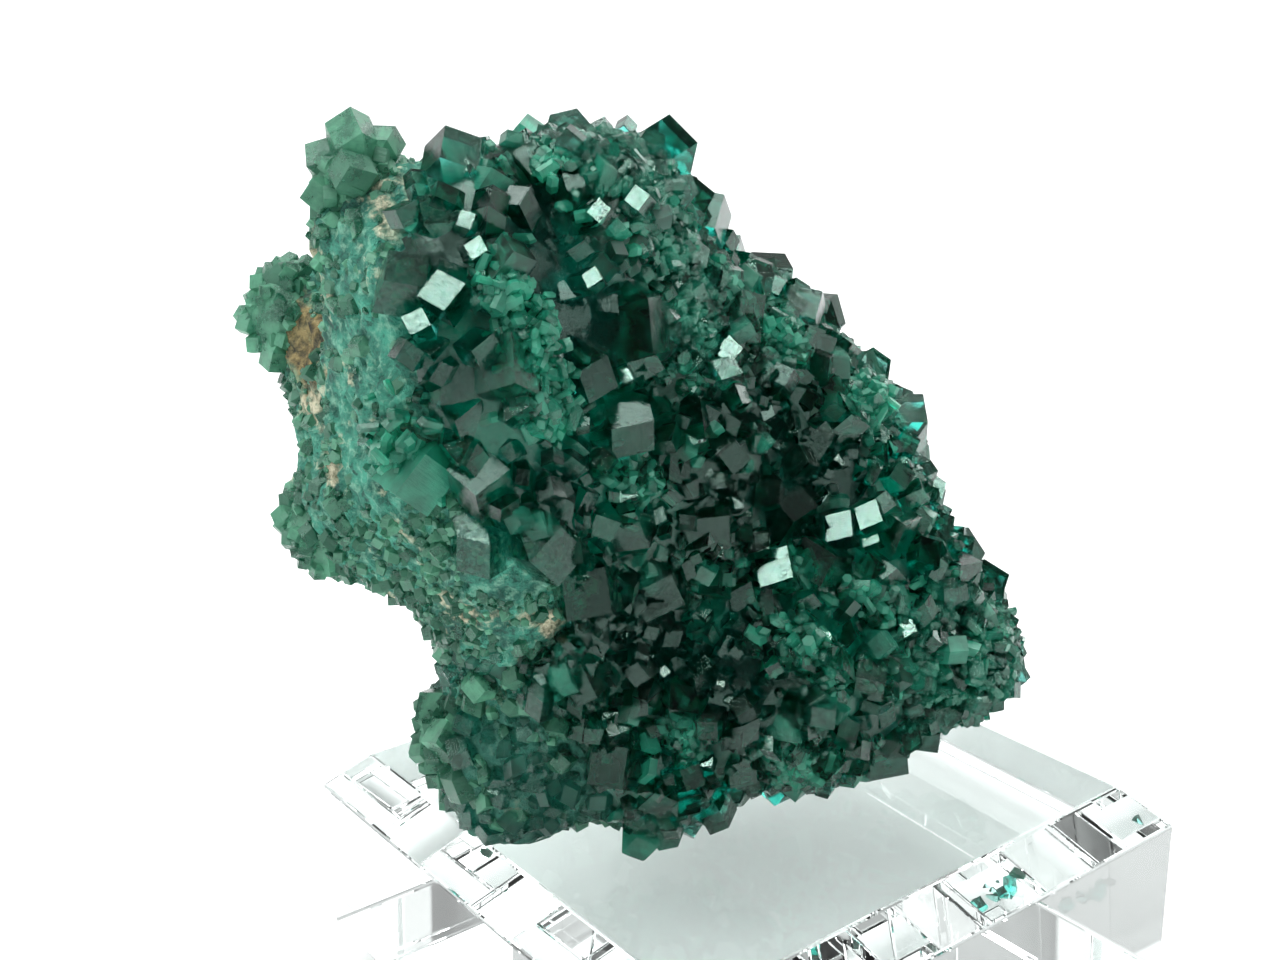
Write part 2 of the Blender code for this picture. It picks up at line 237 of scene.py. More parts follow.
def softened(corners, edge, steps=4):
    """A profile of (half side, height) corners, each inner one cut back by edge and bent in a curve: the two
    ends weighted by the squares of the shares left and gone, and the corner by twice their product."""
    corners = np.asarray(corners, float)
    points = [corners[0]]
    for before, corner, after in zip(corners[:-2], corners[1:-1], corners[2:]):
        start = corner + edge * (before - corner) / np.linalg.norm(before - corner)
        end = corner + edge * (after - corner) / np.linalg.norm(after - corner)
        share = np.linspace(0, 1, steps)[:, None]
        points.extend(start * (1 - share) ** 2 + corner * 2 * share * (1 - share) + end * share**2)
    points.append(corners[-1])
    return np.array(points)


half = BLOCK_SIDE / 2
inner = half - BLOCK_BEVEL
shoulder = BLOCK_HEIGHT - BLOCK_BEVEL
foot_corners = [(inner - 1, 0), (inner, 0), (half, BLOCK_BEVEL)]
top_corners = [(half, shoulder), (inner, BLOCK_HEIGHT), (inner - 1, BLOCK_HEIGHT)]
profile = softened(foot_corners + top_corners, BLOCK_EDGE)
ring = 4 * CORNER_STEPS
rings = [np.column_stack((square_ring(side, BLOCK_EDGE), np.full(ring, z))) for side, z in profile]
points = np.concatenate(rings)
cosine, sine = math.cos(BLOCK_TURN), math.sin(BLOCK_TURN)
points[:, :2] = points[:, :2] @ np.array(((cosine, sine), (-sine, cosine)))
level, place = np.meshgrid(np.arange(len(profile) - 1) * ring, np.arange(ring), indexing="ij")
beside = (place + 1) % ring
walls = np.stack((level + place, level + beside, level + ring + beside, level + ring + place), axis=-1)
caps = [list(range(ring - 1, -1, -1)), list(range(len(points) - ring, len(points)))]

# Cast acrylic, polished: clear with a faint cool tint, so that its far edges show as pale grey green lines
clear_acrylic, tree, output = new_material("polished_cast_acrylic")
shader = add_node(
    tree,
    "ShaderNodeBsdfPrincipled",
    {"Base Color": linear("#F6FDFB"), "Roughness": 0.0, "IOR": 1.49, "Transmission Weight": 1.0},
)
tree.links.new(shader.outputs[0], output.inputs["Surface"])
block = new_piece("acrylic_block", points, walls.reshape(-1, 4).tolist() + caps, clear_acrylic)
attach(block, "root")
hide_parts("display_block")


# The rock
# The pale, crumbly host rock, stained green by copper: bare on the left flank and the back, and under the
# druse elsewhere. It is a smooth union of rounded lumps, roughened by waves and grains.

ROCK_CENTRE = np.array((-8, -2, 44))
ROCK_LUMPS = (  # centre, then radii
    ((-6, 2, 45), (14, 11, 17)),
    ((-17.5, -8.5, 60.5), (9, 10, 9.5)),
    ((-17, -11, 52.5), (8.2, 8, 11)),
    ((-15, -9.5, 43), (7.5, 7, 7)),
    ((-14, -7, 35), (7.5, 7, 8)),
    ((-8, -5, 48), (8.5, 7.5, 11)),
    ((-24.6, -3, 51), (7, 9, 8.5)),
    ((-23.8, -5, 45.5), (6.5, 7.5, 5)),
    ((-30.6, -1, 59), (3.3, 3.9, 3.6)),
    ((-25.2, -9, 67.6), (2.5, 3.3, 3.6)),
    ((-19, -8.5, 65), (6.5, 6.5, 4.8)),
    ((-10.8, -7, 65.4), (4.8, 6, 5.4)),
    ((-6.8, -3, 65.6), (2.2, 4.2, 4.4)),
    ((-7.6, -1, 57.8), (5.6, 7.5, 6.2)),
    ((0.6, 3.5, 49.6), (8, 8, 7.3)),
    ((6.6, 3.5, 42.6), (7.5, 8.5, 9)),
    ((10.8, 1.5, 35.4), (6.8, 8, 6.6)),
    ((16.4, 0, 30.8), (5, 6.3, 4.2)),
    ((0, -3, 32.6), (12.6, 9.5, 7.6)),
    ((-7.5, -7.5, 25.5), (6, 5.5, 5)),
    ((-17.4, -6.4, 25.8), (5.4, 6.2, 7.8)),
    ((5.6, -3, 28), (7.2, 6.5, 5.2)),
    ((-7, 9, 45), (14, 8, 15)),
    ((-5, 7, 27), (10, 8, 6.5)),
)
LUMP_BLEND = 1.8
ROCK_REACH = (6, 44)
SEAT_Z = BLOCK_HEIGHT + 0.3
CRUST_DEPTH = 2.2
CRUST_RISE = 1.0
ROCK_STEPS = 110
DRUSE_FACING = np.array((0.80, -0.55, 0.20))
DRUSE_LIMIT = 0.04  # how nearly a direction lies along the facing where the druse ends
DRUSE_WAVER = 0.06
DRUSE_EDGE = 0.10
BARE_STRIP = np.array((-0.62, -0.76, -0.19))
STRIP_LIMIT = 0.93  # how nearly it lies along the strip where the rock is bare
CREAM_SPOTS = (  # centre and reach
    ((-21.5, -14.0, 68.5), 3.0), ((-3.6, -6.0, 66.5), 3.4), ((-27.5, -11.5, 49.5), 2.3),
    ((-29.0, -8.0, 54.5), 2.8), ((-20.5, -17.0, 41.5), 2.2), ((-13.5, -16.0, 40.0), 2.0),
    ((-28.0, -8.0, 62.0), 2.4), ((-24.0, -10.0, 40.0), 2.5), ((-14.0, -12.0, 68.5), 2.5),
    ((-16.0, 10.0, 50.0), 6.0), ((2.0, 12.0, 42.0), 5.0), ((-22.0, 4.0, 58.0), 4.0),
)
RUST_SPOTS = (
    ((-30.0, -5.6, 58.0), 3.8), ((-14.0, -15.5, 37.0), 1.6), ((-11.5, -15.0, 33.5), 1.4),
    ((-27.0, -7.0, 55.0), 2.5), ((-2.0, 14.0, 50.0), 4.0), ((-20.0, 6.0, 40.0), 3.0),
)
HOLLOWS = (  # the fissure between the two crests and the cavity at its foot
    ((-12.3, -12.5, 70.5), 2.2), ((-12.5, -14.5, 68.0), 2.2), ((-12.6, -16.2, 65.4), 2.5),
    ((-12.6, -17.0, 62.4), 2.9), ((-10.4, -15.7, 60.2), 3.4),
)
# Painted shade: under the druse the rock is painted dark at these spots, in the hollows and where the
# crystals look darkest
PAINTED_SHADE_SPOTS = HOLLOWS + (  # where the crystals look darkest
    ((-17.0, -16.0, 66.0), 4.0), ((-1.4, -9.0, 49.4), 4.5), ((-8.7, -12.5, 39.7), 5.0),
    ((5.0, -6.0, 44.0), 4.0), ((-14.0, -14.5, 48.0), 4.0), ((0.0, -10.0, 33.0), 4.0),
)
# Painted glow: bright teal patches painted on the rock under the druse, for light that comes back out of the
# crystals
PAINTED_GLOW_PATCHES = 0.15 / MM  # how many a metre: patches about 7 mm across
STAINS = 0.26 / MM  # about 4 mm
CLOUDS = 0.38 / MM  # under 3 mm
GRAINS = 1.3 / MM  # under 1 mm, drawn coarser than the real crumbs so that they show


def unit(vectors):
    return vectors / np.linalg.norm(vectors, axis=-1, keepdims=True)


def waves(points, size, seed, count=18):
    """Smooth noise from about -1 to 1: a sum of sine waves about size long, in seeded directions."""
    source = np.random.RandomState(seed)
    ways = unit(source.normal(size=(count, 3)))
    lengths = size * source.uniform(0.7, 1.5, count)
    phases = source.uniform(0, 2 * math.pi, count)
    total = np.sin(points @ (ways * (2 * math.pi / lengths[:, None])).T + phases).sum(axis=1)
    return total / math.sqrt(count * 2)


def lump_field(points):
    """The smooth union of the lumps' distances: negative inside the rock, zero on its skin."""
    total = np.zeros(len(points))
    for centre, radii in ROCK_LUMPS:
        scaled = (points - np.array(centre)) / np.array(radii)
        length = np.sqrt((scaled * scaled).sum(axis=1))
        slope = np.sqrt(((scaled / np.array(radii)) ** 2).sum(axis=1)) + 1e-9
        distance = length * (length - 1) / slope
        total += np.exp(-np.clip(distance, -60, 60) / LUMP_BLEND)
    return -LUMP_BLEND * np.log(total + 1e-30)


def floor_radius(directions, steps=60):
    """How far the lumps' skin lies from the rock's centre: the outermost crossing, found by halving."""
    reaches = np.linspace(*ROCK_REACH, steps)
    fields = [lump_field(ROCK_CENTRE + directions * reach) for reach in reaches]
    inside = np.stack(fields, axis=1) < 0
    last = steps - 1 - np.argmax(inside[:, ::-1], axis=1)
    near = reaches[last]
    far = reaches[np.minimum(last + 1, steps - 1)]
    for _ in range(10):
        middle = (near + far) / 2
        solid = lump_field(ROCK_CENTRE + directions * middle[:, None]) < 0
        near = np.where(solid, middle, near)
        far = np.where(solid, far, middle)
    return (near + far) / 2


def floor_points(directions):
    """The points of the lumps' skin along each direction, and the outward normals there."""
    points = ROCK_CENTRE + directions * floor_radius(directions, 120)[:, None]
    step = 0.4
    slopes = [lump_field(points + step * axis) - lump_field(points - step * axis) for axis in np.eye(3)]
    return points, unit(np.stack(slopes, axis=1))


def druse_share(directions):
    """0 on the bare sides of the rock and 1 where the druse covers it, with a wavering edge between."""
    waver = DRUSE_WAVER * waves(directions, 0.6, seed=3)
    facing = directions @ unit(DRUSE_FACING) - DRUSE_LIMIT + waver
    clear_of_strip = STRIP_LIMIT - directions @ unit(BARE_STRIP) + waver
    return np.clip(np.minimum(facing, 1.6 * clear_of_strip) / DRUSE_EDGE + 0.5, 0, 1)


def sphere_grid(steps):
    """Unit directions over a sphere: an evenly angled grid on each side of a cube, with shared edges merged.
    Returns the directions and the quads that join them, facing outwards."""
    turn = np.tan(np.linspace(-math.pi / 4, math.pi / 4, steps + 1))
    a, b = np.meshgrid(turn, turn, indexing="ij")
    one = np.ones_like(a)
    sides = ((one, a, b), (-one, b, a), (b, one, a), (a, -one, b), (a, b, one), (b, a, -one))
    ways = np.concatenate([np.stack(side, axis=-1).reshape(-1, 3) for side in sides])
    row, column = np.meshgrid(np.arange(steps), np.arange(steps), indexing="ij")
    first = (row * (steps + 1) + column).ravel()
    quads = np.stack((first, first + steps + 1, first + steps + 2, first + 1), axis=1)
    quads = np.concatenate([quads + side * (steps + 1) ** 2 for side in range(6)])
    _, kept, where = np.unique(np.round(ways, 6), axis=0, return_index=True, return_inverse=True)
    return unit(ways[kept]), where.ravel()[quads]


def add_values(mesh, name, values, domain="POINT"):
    """Stores one number for each point or face of the mesh, for its material to read."""
    layer = mesh.attributes.new(name, "FLOAT", domain)
    layer.data.foreach_set("value", np.asarray(values, np.float32))


def rock_skin(directions):
    """The rock's rough skin: the lumps' skin, sunk under the druse, with waves of about 7, 3 and 1 mm, full
    where it is bare and weak under the druse. It ends flat just above the block."""
    skin = ROCK_CENTRE + directions * floor_radius(directions)[:, None]
    share = druse_share(directions)
    relief = 0.5 * waves(skin, 7.0, seed=5) + 0.36 * np.abs(waves(skin, 3.4, seed=6))
    relief += 0.30 * waves(skin, 1.2, seed=7, count=30)
    skin = skin + directions * ((1 - 0.7 * share) * relief - CRUST_DEPTH * share)[:, None]
    skin[:, 2] = np.maximum(skin[:, 2], SEAT_Z)
    return skin


def near_spots(points, spots):
    """1 at the centre of any of the spots, falling smoothly to 0 beyond its reach."""
    shares = [np.exp(-((points - centre) ** 2).sum(axis=1) / reach**2) for centre, reach in spots]
    return np.max(shares, axis=0)


rock_ways, rock_quads = sphere_grid(ROCK_STEPS)
rock_share = druse_share(rock_ways)
rock_points = rock_skin(rock_ways)

# Weathered copper-stained rock: dull, grainy, pale green with cream patches and brown rusty spots. Under the
# druse it is painted bright teal in patches, a painted glow for the light that comes back out of the
# crystals, and painted dark, a painted shade, in the hollows and where the crystals look darkest
stained_rock, tree, output = new_material("copper_stained_rock")
place = add_node(tree, "ShaderNodeTexCoord").outputs["Object"]
stains = add_node(
    tree, "ShaderNodeTexNoise", {"Vector": place, "Scale": STAINS, "Detail": 6, "Roughness": 0.62}
).outputs["Fac"]
grains = add_node(
    tree, "ShaderNodeTexNoise", {"Vector": place, "Scale": GRAINS, "Detail": 4, "Roughness": 0.65}
).outputs["Fac"]
clouds = add_node(
    tree, "ShaderNodeTexNoise", {"Vector": place, "Scale": CLOUDS, "Detail": 5, "Roughness": 0.65}
).outputs["Fac"]
clouds = add_node(
    tree, "ShaderNodeMapRange", {"Value": clouds, "From Min": 0.36, "From Max": 0.62}
).outputs["Result"]
green = add_node(
    tree, "ShaderNodeMix", {0: clouds, 6: linear("#0D5043"), 7: linear("#3F9A82")}, data_type="RGBA"
).outputs[2]
pale = add_node(
    tree, "ShaderNodeMapRange", {"Value": grains, "From Min": 0.50, "From Max": 0.68, "To Max": 0.7}
).outputs["Result"]
green = add_node(
    tree, "ShaderNodeMix", {0: pale, 6: green, 7: linear("#8ABFA6")}, data_type="RGBA"
).outputs[2]
dark = add_node(
    tree, "ShaderNodeMapRange", {"Value": grains, "From Min": 0.44, "From Max": 0.32, "To Max": 0.85}
).outputs["Result"]
green = add_node(
    tree, "ShaderNodeMix", {0: dark, 6: green, 7: linear("#0A3A32")}, data_type="RGBA"
).outputs[2]
cream = add_node(tree, "ShaderNodeAttribute", attribute_name="cream").outputs["Fac"]
cream = add_node(
    tree, "ShaderNodeMath", {0: cream, 1: 0.28, 2: stains}, operation="MULTIPLY_ADD"
).outputs["Value"]
cream = add_node(
    tree, "ShaderNodeMath", {0: grains, 1: 0.35, 2: cream}, operation="MULTIPLY_ADD"
).outputs["Value"]
cream_share = add_node(
    tree, "ShaderNodeMapRange", {"Value": cream, "From Min": 0.77, "From Max": 0.90, "To Max": 0.9}
).outputs["Result"]
crumbs = add_node(
    tree, "ShaderNodeMapRange", {"Value": grains, "From Min": 0.38, "From Max": 0.60}
).outputs["Result"]
cream_tone = add_node(
    tree, "ShaderNodeMix", {0: crumbs, 6: linear("#5E5C40"), 7: linear("#D2CBAE")}, data_type="RGBA"
).outputs[2]
green_and_cream = add_node(
    tree, "ShaderNodeMix", {0: cream_share, 6: green, 7: cream_tone}, data_type="RGBA"
).outputs[2]
rust = add_node(tree, "ShaderNodeAttribute", attribute_name="rust").outputs["Fac"]
rust = add_node(
    tree, "ShaderNodeMath", {0: rust, 1: 0.5, 2: stains}, operation="MULTIPLY_ADD"
).outputs["Value"]
rust_share = add_node(
    tree, "ShaderNodeMapRange", {"Value": rust, "From Min": 0.62, "From Max": 0.84, "To Max": 0.92}
).outputs["Result"]
rust_tone = add_node(
    tree, "ShaderNodeMix", {0: crumbs, 6: linear("#2B2411"), 7: linear("#8F7B4C")}, data_type="RGBA"
).outputs[2]
rusty = add_node(
    tree, "ShaderNodeMix", {0: rust_share, 6: green_and_cream, 7: rust_tone}, data_type="RGBA"
).outputs[2]
height = add_node(tree, "ShaderNodeSeparateXYZ", {"Vector": place}).outputs["Z"]
foot = add_node(
    tree, "ShaderNodeMapRange", {"Value": height, "From Min": 38 * MM, "From Max": 30 * MM, "To Max": 0.75}
).outputs["Result"]
rusty = add_node(
    tree, "ShaderNodeMix", {0: foot, 6: rusty, 7: linear("#1B5A4C")}, data_type="RGBA"
).outputs[2]
# Under the druse: a painted glow of bright teal patches, for light coming back out of the crystals, held down
# by painted shade at the dark spots
glow = add_node(
    tree, "ShaderNodeTexNoise", {"Vector": place, "Scale": PAINTED_GLOW_PATCHES, "Detail": 3}
).outputs["Fac"]
painted_shade = add_node(tree, "ShaderNodeAttribute", attribute_name="painted_shade").outputs["Fac"]
glow = add_node(
    tree, "ShaderNodeMath", {0: painted_shade, 1: -0.35, 2: glow}, operation="MULTIPLY_ADD"
).outputs["Value"]
glow = add_node(
    tree, "ShaderNodeMapRange", {"Value": glow, "From Min": 0.38, "From Max": 0.60}
).outputs["Result"]
glow = add_node(
    tree, "ShaderNodeMix", {0: glow, 6: linear("#0A3A33"), 7: linear("#56CDB6")}, data_type="RGBA"
).outputs[2]
covered = add_node(tree, "ShaderNodeAttribute", attribute_name="covered").outputs["Fac"]
colour = add_node(tree, "ShaderNodeMix", {0: covered, 6: rusty, 7: glow}, data_type="RGBA").outputs[2]
bump = add_node(
    tree, "ShaderNodeBump", {"Height": grains, "Strength": 0.9, "Distance": 0.8 * MM}
).outputs["Normal"]
shader = add_node(
    tree, "ShaderNodeBsdfPrincipled", {"Base Color": colour, "Roughness": 0.7, "Normal": bump}
)
tree.links.new(shader.outputs[0], output.inputs["Surface"])
rock = new_piece("rock_surface", rock_points, rock_quads.tolist(), stained_rock)
rock.data.shade_smooth()
add_values(rock.data, "covered", rock_share)
add_values(rock.data, "cream", near_spots(rock_points, CREAM_SPOTS))
add_values(rock.data, "rust", near_spots(rock_points, RUST_SPOTS))
# Painted shade: how near each point lies to the dark spots under the druse
add_values(rock.data, "painted_shade", near_spots(rock_points, PAINTED_SHADE_SPOTS))
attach(rock, "root")
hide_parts("matrix_rock")


# The druse
# Dioptase that grew over the front and right of the rock, one sheet of crystals without walls between them.
# Each is a six-sided prism that ends in three rhombs, and small ones fill in between the large.

RHOMB_ANGLE = math.radians(51)
RHOMB_SLOPE = math.tan(RHOMB_ANGLE)
CRYSTAL_ROOT = 2.6
SHORTEST_SIDE = 0.2
LARGE_SEED = 23
LARGE_TRIES = 3600
LARGE_SHARE = 0.75
LARGE_RADII = (1.35, 2.75)
LARGE_HEIGHTS = (0.9, 1.8)
LARGE_SPACING = 1.8
LARGE_TILT = math.radians(40)
LARGE_SQUEEZES = (0.88, 1.14)
SIZE_ZONES = (  # centre, reach, and the factor on the crystals' radii there
    ((-8, -9, 66), 8.0, 0.62),
    ((17, -4, 31), 7.0, 0.60),
    ((-19, -17, 60), 7.0, 1.30),
)
SMALL_SEED = 41
SMALL_TRIES = 16000
SMALL_SHARE = 0.6
SMALL_RADII = (0.42, 1.5)
SMALL_SPACING = 1.05
SMALL_TILT = math.radians(38)
SMALL_HEIGHTS = (0.5, 1.7)
SMALL_SQUEEZES = (0.72, 1.35)
HOLLOW_DEPTH = 3.3
GLINT_SPOTS = (  # a spot of the druse and the radius of its crystal
    ((1.7, -8.4, 41.2), 2.1), ((6.6, -6.1, 43.5), 1.7), ((9.3, -5.3, 43.8), 1.5), ((9.1, -5.6, 42.3), 1.1),
    ((9.0, -7.0, 37.0), 0.9), ((-0.4, -8.6, 58.4), 1.3), ((-8.6, -12.5, 55.0), 1.1),
    ((-18.6, -17.9, 64.2), 1.8), ((-19.6, -17.9, 62.0), 1.2), ((-17.3, -17.0, 65.8), 1.0),
    ((-10.2, -14.4, 62.4), 0.9), ((-3.2, -11.5, 29.0), 0.8), ((-18.8, -17.6, 69.0), 0.9),
    ((-7.4, -12.0, 69.5), 1.1), ((-9.8, -13.0, 66.5), 1.0), ((-9.0, -14.5, 36.5), 0.7),
    ((4.0, -9.0, 47.5), 0.8),
)
GLINT_ROOT = 1.5
GLINT_RISE = 0.8
LEADERS = (  # root, tip and radius
    ((-5.8, -3.6, 67.4), (-4.4, -4.2, 73.4), 2.2),
    ((-5.8, -3.6, 67.4), (-8.0, -5.2, 72.4), 1.5),
    ((-5.8, -2.6, 67.0), (-5.2, 0.4, 71.2), 1.5),
    ((-20.0, -14.6, 63.4), (-22.4, -20.6, 65.4), 2.2),
    ((-20.2, -15.0, 52.8), (-22.6, -21.2, 51.8), 2.7),
    ((-9.6, -10.6, 61.4), (-6.0, -16.2, 59.2), 3.3),
    ((-16.2, -13.6, 53.0), (-12.6, -19.6, 44.6), 2.6),
    ((-19.0, -14.4, 51.6), (-17.0, -20.6, 45.6), 2.2),
    ((14.6, 2.4, 37.4), (20.6, 2.6, 37.6), 2.4),
    ((12.0, 3.0, 41.0), (17.4, 3.4, 42.8), 2.2),
    ((4.6, 3.8, 54.0), (8.0, 4.0, 58.4), 2.0),
    ((6.5, 3.0, 49.0), (11.2, 2.6, 54.6), 2.1),
    ((9.0, 3.0, 46.0), (14.2, 3.2, 50.4), 1.9),
)
COARSE_ZONES = (((-17.0, -17.0, 66.0), 5.0), ((-16.5, -18.0, 57.0), 5.0), ((-14.5, -16.0, 50.0), 4.0))
FINE_ZONES = (((17.0, -4.0, 31.0), 6.0), ((-8.0, -8.0, 69.0), 4.5), ((-4.0, -10.0, 63.0), 4.0))
NARROWEST_IN_COARSE = 1.9
WIDEST_IN_FINE = 2.4
VEILED_SPOTS = (
    ((14.5, -6.0, 31.0), 5.0), ((-6.0, -12.0, 63.0), 5.0), ((-3.0, -9.0, 68.0), 4.0), ((9, -2, 52), 5.0),
)
VEILED_LEADER = 4  # the one of LEADERS that is veiled
WIDEST_VEILED = 3.4
FROST_SPOTS = (((12.4, -8.7, 31.5), 2.4), ((17.5, -5.0, 32.0), 4.0), ((-7.0, -13.0, 66.0), 5.0))
CRUST_STEPS = 56
CRUST_WALL = 0.9
CRYSTAL_SIDES = [[k, (k + 1) % 6, 6 + (k + 1) % 6, 6 + k] for k in range(6)]
CRYSTAL_RHOMBS = [[12, 6 + (k - 1) % 6, 6 + k, 6 + (k + 1) % 6] for k in (0, 2, 4)]
CRYSTAL_BASE = [5, 4, 3, 2, 1, 0]


def crystal_corners(roots, tips, radii, spins, squeezes):
    """Thirteen corners a crystal: six round its root, six where its sides end, and its tip. A side ends
    below the tip by the rhombs' slope times the radius, in full at every second corner and half between."""
    along = unit(tips - roots)
    across = unit(np.cross((0, 0, 1), along))
    beyond = np.cross(along, across)
    angles = np.arange(6) * math.pi / 3
    x = radii[:, None] * np.cos(angles) * squeezes[:, None]
    y = radii[:, None] * np.sin(angles) / squeezes[:, None]
    turned_x = x * np.cos(spins)[:, None] - y * np.sin(spins)[:, None]
    turned_y = x * np.sin(spins)[:, None] + y * np.cos(spins)[:, None]
    lower = roots[:, None] + turned_x[..., None] * across[:, None] + turned_y[..., None] * beyond[:, None]
    lengths = np.linalg.norm(tips - roots, axis=1)
    drops = radii[:, None] * RHOMB_SLOPE * np.array((1, 0.5) * 3)
    tops = np.maximum(lengths[:, None] - drops, SHORTEST_SIDE)
    upper = lower + tops[..., None] * along[:, None]
    return np.concatenate((lower, upper, tips[:, None]), axis=1)


def crystal_mesh(name, corners, frosts):
    """A mesh of whole crystals. Its map, growth, lays each face flat in millimetres, across then along its
    first edge, at a place of its own for each crystal, and frost is one number for each crystal."""
    count = len(corners)
    quads = np.array(CRYSTAL_SIDES + CRYSTAL_RHOMBS)
    first = np.arange(count)[:, None, None] * 13
    faces = (first + quads).reshape(-1, 4).tolist() + (first[:, 0] + np.array(CRYSTAL_BASE)).tolist()
    mesh = bpy.data.meshes.new(name)
    mesh.from_pydata((corners.reshape(-1, 3) * MM).tolist(), [], faces)
    add_values(mesh, "frost", np.concatenate((np.repeat(frosts, 9), frosts)), "FACE")
    flat = corners[:, quads]
    edge = unit(flat[:, :, 1] - flat[:, :, 0])
    normal = unit(np.cross(edge, flat[:, :, 3] - flat[:, :, 0]))
    side = np.cross(normal, edge)
    offset = flat - flat[:, :, :1]
    u = (offset * edge[:, :, None]).sum(-1) + (np.arange(count) % 97)[:, None, None] * 10.0
    v = (offset * side[:, :, None]).sum(-1) + np.arange(9)[:, None] * 10.0
    sheet = np.stack((u, v), -1).reshape(-1)
    growth = mesh.uv_layers.new(name="growth")
    growth.data.foreach_set("uv", np.concatenate((sheet, np.zeros(count * 12))).astype(np.float32))
    piece = bpy.data.objects.new(name, mesh)
    bpy.context.scene.collection.objects.link(piece)
    return piece


def clear_batches(corners):
    """Shares the crystals out into batches in which no two touch: each takes the first batch whose members'
    balls stay clear of its own."""
    middles = (corners.min(axis=1) + corners.max(axis=1)) / 2
    reaches = np.linalg.norm(corners - middles[:, None], axis=2).max(axis=1)
    batch = np.zeros(len(corners), int)
    for i in range(1, len(corners)):
        gaps = np.linalg.norm(middles[:i] - middles[i], axis=1)
        taken = set(batch[:i][gaps < reaches[:i] + reaches[i]].tolist())
        batch[i] = next(k for k in range(len(taken) + 1) if k not in taken)
    return batch


def grow_together(piece, corners, frosts):
    """Joins crystals to a closed mesh, batch by batch, so that no wall is left between them."""
    batch = clear_batches(corners)
    parts = []
    for k in range(batch.max() + 1):
        part = crystal_mesh(f"{piece.name}_{k}", corners[batch == k], frosts[batch == k])
        join = piece.modifiers.new(part.name, "BOOLEAN")
        join.operation = "UNION"
        join.solver = "MANIFOLD"
        join.object = part
        parts.append(part)
    graph = bpy.context.evaluated_depsgraph_get()
    joined = bpy.data.meshes.new_from_object(piece.evaluated_get(graph))
    joined.validate()
    piece.modifiers.clear()
    piece.data = joined
    for part in parts:
        bpy.data.objects.remove(part, do_unlink=True)


def crystal_piece(name, corners, frosts, material):
    """A closed piece of nothing but crystals: the first batch, and the others joined to it."""
    batch = clear_batches(corners)
    piece = crystal_mesh(name, corners[batch == 0], frosts[batch == 0])
    piece.data.materials.append(material)
    grow_together(piece, corners[batch > 0], frosts[batch > 0])
    return piece


def spaced_out(points, radii, spacing):
    """The indices of spots kept in turn, each clear of those before it by spacing times their mean radius."""
    kept = []
    for i, (point, radius) in enumerate(zip(points, radii)):
        apart = np.linalg.norm(points[kept] - point, axis=1)
        if (apart > spacing * (radii[kept] + radius) / 2).all():
            kept.append(i)
    return kept


def size_factors(points):
    """How much larger or smaller the crystals are at each point: 1, but for the zones."""
    factors = np.ones(len(points))
    for centre, reach, factor in SIZE_ZONES:
        away = ((points - np.array(centre)) ** 2).sum(axis=1)
        factors += (factor - 1) * np.exp(-away / reach**2)
    return factors


def growth_steps(tree, repeats, detail, roughness, strength, depth):
    """The bent normal of faces with fine growth steps: noise on the map growth, with so many repeats a
    millimetre along the first edge and across it, and as deep as depth in millimetres."""
    growth = add_node(tree, "ShaderNodeUVMap", uv_map="growth").outputs["UV"]
    stretch = (*repeats, 1.0)
    place = add_node(tree, "ShaderNodeMapping", {"Vector": growth, "Scale": stretch}).outputs["Vector"]
    height = add_node(
        tree, "ShaderNodeTexNoise", {"Vector": place, "Scale": 1.0, "Detail": detail, "Roughness": roughness}
    ).outputs["Fac"]
    return add_node(
        tree, "ShaderNodeBump", {"Height": height, "Strength": strength, "Distance": depth * MM}
    ).outputs["Normal"]


# The large crystals stand where the frame's own crystals do, from the same seed and order of draws
source = random.Random(LARGE_SEED)
ways = unit(np.array([[source.gauss(0, 1) for _ in range(3)] for _ in range(LARGE_TRIES)]))
ways = ways[druse_share(ways) > LARGE_SHARE]
radii = np.array([source.uniform(*LARGE_RADII) for _ in ways])
points, normals = floor_points(ways)
radii *= size_factors(points)
kept = spaced_out(points, radii, LARGE_SPACING)
points, normals, radii = points[kept], normals[kept], radii[kept]
draws = np.array(
    [
        [
            source.gauss(0, 1),
            source.gauss(0, 1),
            source.gauss(0, 1),
            source.random(),
            source.uniform(*LARGE_HEIGHTS),
            source.uniform(0, math.pi),
            source.uniform(*LARGE_SQUEEZES),
        ]
        for _ in kept
    ]
)
aside = unit(np.cross(normals, draws[:, :3]))
tilt = LARGE_TILT * draws[:, 3:4]
axes = normals * np.cos(tilt) + np.cross(aside, normals) * np.sin(tilt)
large_roots = points - CRYSTAL_ROOT * axes
large_tips = points + (radii * draws[:, 4])[:, None] * axes
lead_draws = np.array([[source.uniform(0, math.pi), source.uniform(*LARGE_SQUEEZES)] for _ in LEADERS])
large_corners = crystal_corners(
    np.concatenate((large_roots, [root for root, _, _ in LEADERS])),
    np.concatenate((large_tips, [tip for _, tip, _ in LEADERS])),
    np.concatenate((radii, [radius for _, _, radius in LEADERS])),
    np.concatenate((draws[:, 5], lead_draws[:, 0])),
    np.concatenate((draws[:, 6], lead_draws[:, 1])),
)

